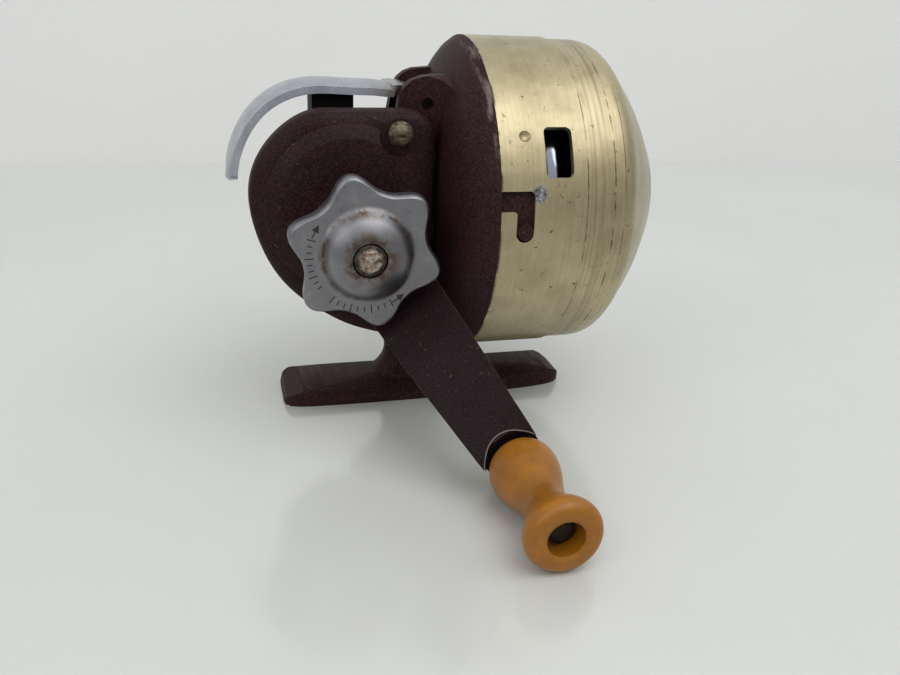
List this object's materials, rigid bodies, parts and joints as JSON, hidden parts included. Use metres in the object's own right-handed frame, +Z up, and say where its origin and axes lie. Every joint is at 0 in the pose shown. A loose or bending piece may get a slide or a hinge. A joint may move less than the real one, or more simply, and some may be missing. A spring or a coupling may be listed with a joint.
{
  "type": "closed-face spincast fishing reel",
  "caption": "Closed-face fishing reel with gold front cover, maroon body, star drag wheel, crank with amber knob, thumb release lever and rod foot.",
  "frame": {"origin": "middle of the flat underside of the reel foot", "axes": "+X forward, the way the line leaves the cover; +Z up from the rod; the crank is on -Y"},
  "size_m": [0.0949, 0.1096, 0.0799],
  "materials": {
    "enamel": "dark maroon speckled baked enamel, worn",
    "gold_anodised": "pale gold anodised spun aluminium, brushed",
    "cast_aluminium": "satin cast aluminium, tarnished",
    "lever_aluminium": "satin aluminium",
    "steel": "bright steel",
    "rusty_steel": "tarnished steel with light rust",
    "brass": "machined brass",
    "black_plastic": "moulded black plastic",
    "amber_plastic": "butterscotch amber plastic, worn",
    "rotor": "polished aluminium spinning",
    "fibre": "fibre washer",
    "line": "clear nylon line"
  },
  "bodies": {
    "frame": {"body_casting": "enamel", "side_plate": "enamel", "side_plate_screw_1": "rusty_steel", "side_plate_screw_2": "rusty_steel", "crank_bushing": "brass", "pinion_bushing": "brass", "spool": "cast_aluminium", "line_winding": "line", "spool_retaining_ring": "steel", "lever_pin": "steel"},
    "cover": {"front_cover": "gold_anodised", "line_guide_ring": "steel", "pinch_ring": "steel"},
    "crank": {"crank_shaft": "rusty_steel", "drive_gear": "brass", "drag_washer_fibre": "fibre", "drag_washer_steel": "steel", "ratchet_wheel": "steel", "crank_arm": "enamel", "star_spring_washer": "steel", "knob_rivet": "rusty_steel", "knob_spacer": "steel"},
    "star": {"star_drag_wheel": "cast_aluminium"},
    "knob": {"crank_knob": "amber_plastic"},
    "lever": {"thumb_lever": "lever_aluminium", "push_block": "black_plastic"},
    "pinion": {"pinion_gear": "brass", "pinion_clip": "steel"},
    "spinner": {"centre_shaft": "steel", "shaft_collar": "steel", "shaft_spring": "steel", "spinner_head": "rotor", "pickup_guide": "brass", "spinner_nut": "steel"},
    "pickup": {"pickup_pin": "steel"}
  },
  "joints": [
    {"name": "crank_spin", "type": "hinge", "parent": "frame", "child": "crank", "pos_m": [-0.0191, 0, 0.0418], "axis": [0, 1, 0], "continuous": true},
    {"name": "star_turn", "type": "hinge", "parent": "crank", "child": "star", "pos_m": [-0.0191, 0, 0.0418], "axis": [0, 1, 0], "range_deg": [-120, 120]},
    {"name": "knob_spin", "type": "hinge", "parent": "crank", "child": "knob", "pos_m": [0.0061, 0, 0.00715], "axis": [0, 1, 0], "continuous": true},
    {"name": "thumb_lever", "type": "hinge", "parent": "frame", "child": "lever", "pos_m": [-0.0038, 0, 0.067], "axis": [0, -1, 0], "range_deg": [0, 12], "stiffness_Nm_per_rad": 0.25, "springref_deg": -8.59},
    {"name": "pinion_spin", "type": "hinge", "parent": "frame", "child": "pinion", "pos_m": [0, 0, 0.0464], "axis": [1, 0, 0], "continuous": true},
    {"name": "shaft_slide", "type": "slide", "parent": "pinion", "child": "spinner", "axis": [1, 0, 0], "range_m": [0, 0.0041], "deforming": ["shaft_spring"]},
    {"name": "pickup_slide", "type": "slide", "parent": "spinner", "child": "pickup", "axis": [0, 0, -1], "range_m": [0, 0.0026]},
    {"name": "cover_twist", "type": "hinge", "parent": "frame", "child": "cover", "pos_m": [0, 0, 0.0464], "axis": [1, 0, 0], "range_deg": [0, 9.8]}
  ],
  "couplings": [
    {"joint": "pinion_spin", "follows": "crank_spin", "ratio": 3.4},
    {"joint": "shaft_slide", "follows": "thumb_lever", "m_per_rad": 0.019},
    {"joint": "pickup_slide", "follows": "thumb_lever", "m_per_rad": 0.0115}
  ]
}
